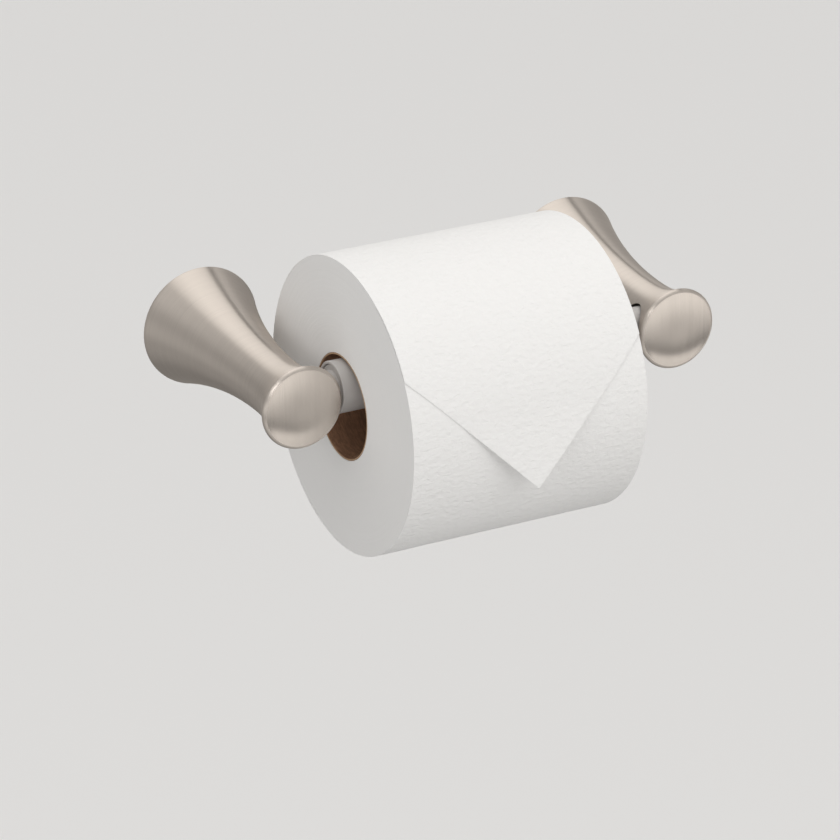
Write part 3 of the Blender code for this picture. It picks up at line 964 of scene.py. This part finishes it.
def add_outer_tube(looks):
    start, end, radius = tube_sizes("roller_outer_tube")
    bore = radius - OUTER_TUBE_WALL
    outline = filleted([
        (radius, end, 0.4 * MM), (bore, end, 0.2 * MM),
        (bore, start, 0.2 * MM), (radius, start, 0.3 * MM),
    ], 6)
    tube = turned("roller_outer_tube_fine", outline, ROLLER_SEGMENTS, along_roller(ROLLER_AXIS))
    tube.data.materials.append(looks["roller"])
    smooth(tube)
    settle_on_roller(tube, "roller_outer", "roller_outer_tube")


def add_end_plug(side, sign, body, looks):
    """End plug with a stepped nose; its face sits a little below the tube's end."""
    node = f"roller_{side}_plug"
    low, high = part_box(node)
    spigot = (high.z - low.z) / 2
    tip, back = (high.x, low.x) if sign > 0 else (-low.x, -high.x)
    face = back + SPIGOT_LENGTH
    dimple = tip - 0.3 * MM
    outline = filleted([
        (0, back, 0), (spigot, back, 0.4 * MM), (spigot, face, 0.35 * MM), (NOSE_RADIUS, face, 0.5 * MM),
        (NOSE_RADIUS, tip, NOSE_ROUND), (NOSE_RADIUS * 0.3, tip, 0.4 * MM),
        (NOSE_RADIUS * 0.2, dimple, 0.3 * MM), (0, dimple, 0),
    ], 8)
    outline = [(radius, sign * height) for radius, height in outline]
    plug = turned(f"{node}_fine", outline, ROLLER_SEGMENTS, along_roller(ROLLER_AXIS))
    plug.data.materials.append(looks["roller"])
    smooth(plug)
    settle_on_roller(plug, body, node)


def add_spring(looks):
    """Compression spring with closed ends, built at one fixed length."""
    low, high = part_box("roller_spring")
    wire = SPRING_WIRE
    radius = (high.z - low.z) / 2 - wire
    steps, ring = SPRING_TURNS * 40, 12  # along the wire and round it
    place = along_roller(ROLLER_AXIS)
    span = high.x - low.x - 2 * wire
    verts, faces = [], []
    for step in range(steps + 1):
        share = step / steps
        angle = math.tau * SPRING_TURNS * share
        rise = low.x + wire + span * closed_end_rise(share)
        out = Vector((math.cos(angle), math.sin(angle), 0))
        for turn in range(ring):
            spin = math.tau * turn / ring
            along = Vector((0, 0, rise + wire * math.sin(spin)))
            verts.append(place @ (out * (radius + wire * math.cos(spin)) + along))
    for step in range(steps):
        for turn in range(ring):
            following = (turn + 1) % ring
            a, b = step * ring, (step + 1) * ring
            faces.append((a + turn, a + following, b + following, b + turn))
    faces.append(tuple(range(ring)))
    faces.append(tuple(steps * ring + turn for turn in range(ring)))
    spring = mesh_object("roller_spring_coil", verts, faces)
    spring.data.materials.append(looks["spring"])
    smooth(spring, 50)
    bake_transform(spring)
    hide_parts("roller_spring")


def closed_end_rise(share):
    """How far along the spring its wire has come: the first and last turn lie nearly flat."""
    flat = 0.9 / SPRING_TURNS
    lift = 2 * SPRING_WIRE * 1.05 / SPRING_LENGTH
    if share < flat:
        return lift * share / flat
    if share > 1 - flat:
        return 1 - lift * (1 - share) / flat
    return lift + (1 - 2 * lift) * (share - flat) / (1 - 2 * flat)


# Paper

def paper_sizes():
    """The roll's two ends, the winding's radius and the last turn's."""
    low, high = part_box("paper_winding")
    tail_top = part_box("paper_tail")[1].z
    return low.x, high.x, (high.z - low.z) / 2, tail_top - PAPER_AXIS.z


def add_core(looks):
    """Spiral-wound cardboard tube with a butt seam that runs round it, and rough cut ends."""
    low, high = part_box("paper_core")
    radius = (high.z - low.z) / 2
    bore = radius - CORE_WALL
    rows = stretch(low.x + CORE_EDGE, high.x - CORE_EDGE, 130)
    outline = [(bore, height) for height in rows]
    outline += [(bore + CORE_EDGE, high.x), (radius - CORE_EDGE, high.x)]
    outline += [(radius, height) for height in reversed(rows)]
    outline += [(radius - CORE_EDGE, low.x), (bore + CORE_EDGE, low.x)]
    core = turned("paper_core_tube", outline, 200, along_roller(PAPER_AXIS))
    for vert in core.data.vertices:
        y, z = vert.co.y - PAPER_AXIS.y, vert.co.z - PAPER_AXIS.z
        out = math.hypot(y, z)
        phase = (vert.co.x / SEAM_PITCH - math.atan2(z, y) / math.tau) % 1
        from_seam = min(phase, 1 - phase) * SEAM_PITCH
        dent = SEAM_DEPTH * max(0, 1 - from_seam / SEAM_WIDTH)
        dent += 0.03 * MM * noise.noise(vert.co * 90)
        push = (out + dent) / out if out < (bore + radius) / 2 else (out - 0.3 * dent) / out
        vert.co.y = PAPER_AXIS.y + y * push
        vert.co.z = PAPER_AXIS.z + z * push
    core.data.materials.append(looks["board"])
    core.data.materials.append(looks["board_edge"])
    for face in core.data.polygons:
        if abs(face.normal.x) > 0.3:
            face.material_index = 1
    smooth(core, 50)
    settle(core, PAPER_AXIS, "paper_roll", "cardboard", "paper_core")


def add_winding(looks):
    """The wound paper: its end faces show the layers' edges, slightly uneven."""
    low, high, radius, outer = paper_sizes()
    core_low, core_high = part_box("paper_core")
    bore = (core_high.z - core_low.z) / 2 + 0.15 * MM
    rng = random.Random(11)
    layers = int((radius - bore) / LAYER_STEP)
    left, right = [], []
    for layer in range(layers + 1):
        out = bore + (radius - bore) * layer / layers
        left.append((out, low + 0.06 * MM + rng.uniform(-0.02, 0.02) * MM))
        right.append((out, high - 0.06 * MM + rng.uniform(-0.02, 0.02) * MM))
    outline = left + list(reversed(right))
    winding = turned("paper_winding_body", outline, PAPER_SEGMENTS, along_roller(PAPER_AXIS))
    for vert in winding.data.vertices:
        y, z = vert.co.y - PAPER_AXIS.y, vert.co.z - PAPER_AXIS.z
        out = math.hypot(y, z)
        grow = (spiral_radius(math.atan2(-y, z), outer) - SHEET - 0.02 * MM) / radius
        push = 1 + (grow - 1) * max(0, (out - radius + 4 * MM) / (4 * MM))
        vert.co.y = PAPER_AXIS.y + y * push
        vert.co.z = PAPER_AXIS.z + z * push
        vert.co.x += 0.16 * MM * noise.noise(vert.co * 38) + 0.06 * MM * noise.noise(vert.co * 160)
    winding.data.materials.append(looks["ends"])
    smooth(winding, 60)
    settle(winding, PAPER_AXIS, "paper_roll", "tissue_paper", "paper_winding")


def fold(across, along, corner_line):
    """Folds a flat point back at 45 degrees where it passes the corner line.

    Gives (across, along, depth), depth being how far it lies behind the front layer."""
    side = -1 if across < 0 else 1
    past = (abs(across) + along - corner_line) / math.sqrt(2)
    if past <= 0:
        return across, along, 0.0
    if past < math.pi * FOLD_RADIUS:
        turn = past / FOLD_RADIUS
        shift, depth = FOLD_RADIUS * math.sin(turn) - past, FOLD_RADIUS * (1 - math.cos(turn))
    else:
        shift, depth = -(past - math.pi * FOLD_RADIUS) - past, 2 * FOLD_RADIUS
    step = shift / math.sqrt(2)
    return across + side * step, along + step, depth


def spiral_radius(angle, outer):
    """Radius of the last turn's outer side; the angle is from the top towards the room."""
    seam = SHEET_START + math.tau
    if angle > seam:
        angle -= math.tau
    return outer - SPIRAL_RISE * max(0, angle / SHEET_START)


def bend(across, along, depth, middle, outer, tip):
    """Point of the last turn in space: round the roll, then straight down from where it lifts off."""
    radius = outer - SPIRAL_RISE * max(0, along / (SHEET_START * outer))
    turn = min(along / outer, LIFT_ANGLE)
    free = along - turn * outer
    share = max(free, 0) / (tip - LIFT_ANGLE * outer)
    lean = turn + math.radians(2.0) * share**2
    wave = 0.14 * MM * noise.noise(Vector((across * 55, along * 42, 3.1)))
    wave += 0.25 * MM * share * math.sin(across * 70 + 0.6)
    out = radius - depth + wave
    forward = out * math.sin(turn) + free * math.cos(lean)
    up = out * math.cos(turn) - free * math.sin(lean)
    return Vector((middle + across, PAPER_AXIS.y - forward, PAPER_AXIS.z + up))


def add_sheet(looks):
    """The last turn of paper: most of the way round the roll, then down to the folded point."""
    low, high, _, outer = paper_sizes()
    half, middle = (high - low) / 2, (low + high) / 2
    tip = FOLD_CORNER + half
    start = SHEET_START * outer
    shape = bmesh.new()
    bmesh.ops.create_grid(shape, x_segments=48, y_segments=300, size=0.5)
    for vert in shape.verts:
        vert.co = (vert.co.x * 2 * half, start + (vert.co.y + 0.5) * (tip - start), 0)
    for side in SIDES.values():
        for eighth in range(5):
            past = math.pi * FOLD_RADIUS * eighth / 4 * math.sqrt(2)
            everything = shape.verts[:] + shape.edges[:] + shape.faces[:]
            corner = (0, tip + past, 0)
            bmesh.ops.bisect_plane(shape, geom=everything, plane_co=corner, plane_no=(side, 1, 0))
    layer = shape.loops.layers.uv.new("sheet")
    for face in shape.faces:
        for loop in face.loops:
            loop[layer].uv = (loop.vert.co.x, loop.vert.co.y)
    for vert in shape.verts:
        folded = fold(vert.co.x, vert.co.y, tip)
        vert.co = bend(*folded, middle, outer, tip)
    mesh = bpy.data.meshes.new("paper_sheet")
    shape.to_mesh(mesh)
    shape.free()
    sheet = bpy.data.objects.new("paper_sheet", mesh)
    bpy.context.scene.collection.objects.link(sheet)
    first = mesh.polygons[0]
    toward = first.center - PAPER_AXIS
    toward.x = 0
    if first.normal.dot(toward) < 0:
        mesh.flip_normals()
    thicken = sheet.modifiers.new("thickness", "SOLIDIFY")
    thicken.thickness = SHEET
    thicken.offset = -1
    apply_modifiers(sheet)
    sheet.data.materials.append(looks["sheet"])
    smooth(sheet, 60)
    settle(sheet, PAPER_AXIS, "paper_roll", "tissue_paper", "paper_tail")


def make_looks():
    return {
        "nickel": brushed_nickel("nickel_round_brushed", "Y", round_lines, 0.38),
        "nickel_face": brushed_nickel("nickel_face_brushed", "X", upright_lines, 0.25),
        # the insides' colour is the nickel's at about 0.6: painted shade in the hollow, socket and hole
        "nickel_inside_painted_shade": cast_metal("nickel_inside_painted_shade", (0.42, 0.39, 0.36), 0.5, 1.2 * MM, 0.02 * MM),
        "zinc": cast_metal("zinc_plate", (0.55, 0.56, 0.58), 0.42, 2.5 * MM, 0.01 * MM),
        "steel": cast_metal("plated_steel", (0.52, 0.52, 0.53), 0.30, 1.5 * MM, 0.004 * MM),
        "spring": cast_metal("spring_wire", (0.40, 0.40, 0.42), 0.28, 1.0 * MM, 0.003 * MM),
        "nylon": moulded_plastic("plug_nylon", (0.36, 0.39, 0.44), 0.45, 0.01 * MM),
        "roller": moulded_plastic("roller_grey", (0.56, 0.54, 0.525), 0.36, 0.006 * MM),
        "board": cardboard(),
        "board_edge": cardboard_edge(),
        "ends": tissue_ends(),
        "sheet": tissue_sheet(),
    }


add_camera()
looks = make_looks()
for side, sign in SIDES.items():
    add_post(side, sign, looks)
    add_bracket(side, looks)
    add_set_screw(side, looks)
    for level in LEVELS:
        add_mounting_screw(side, level, looks)
        add_wall_plug(side, level, looks)
add_inner_tube(looks)
add_outer_tube(looks)
add_end_plug("left", -1, "roller_inner", looks)
add_end_plug("right", 1, "roller_outer", looks)
add_spring(looks)
add_core(looks)
add_winding(looks)
add_sheet(looks)
add_lights()
add_world()
add_floor()
bpy.context.scene.view_settings.view_transform = "Standard"
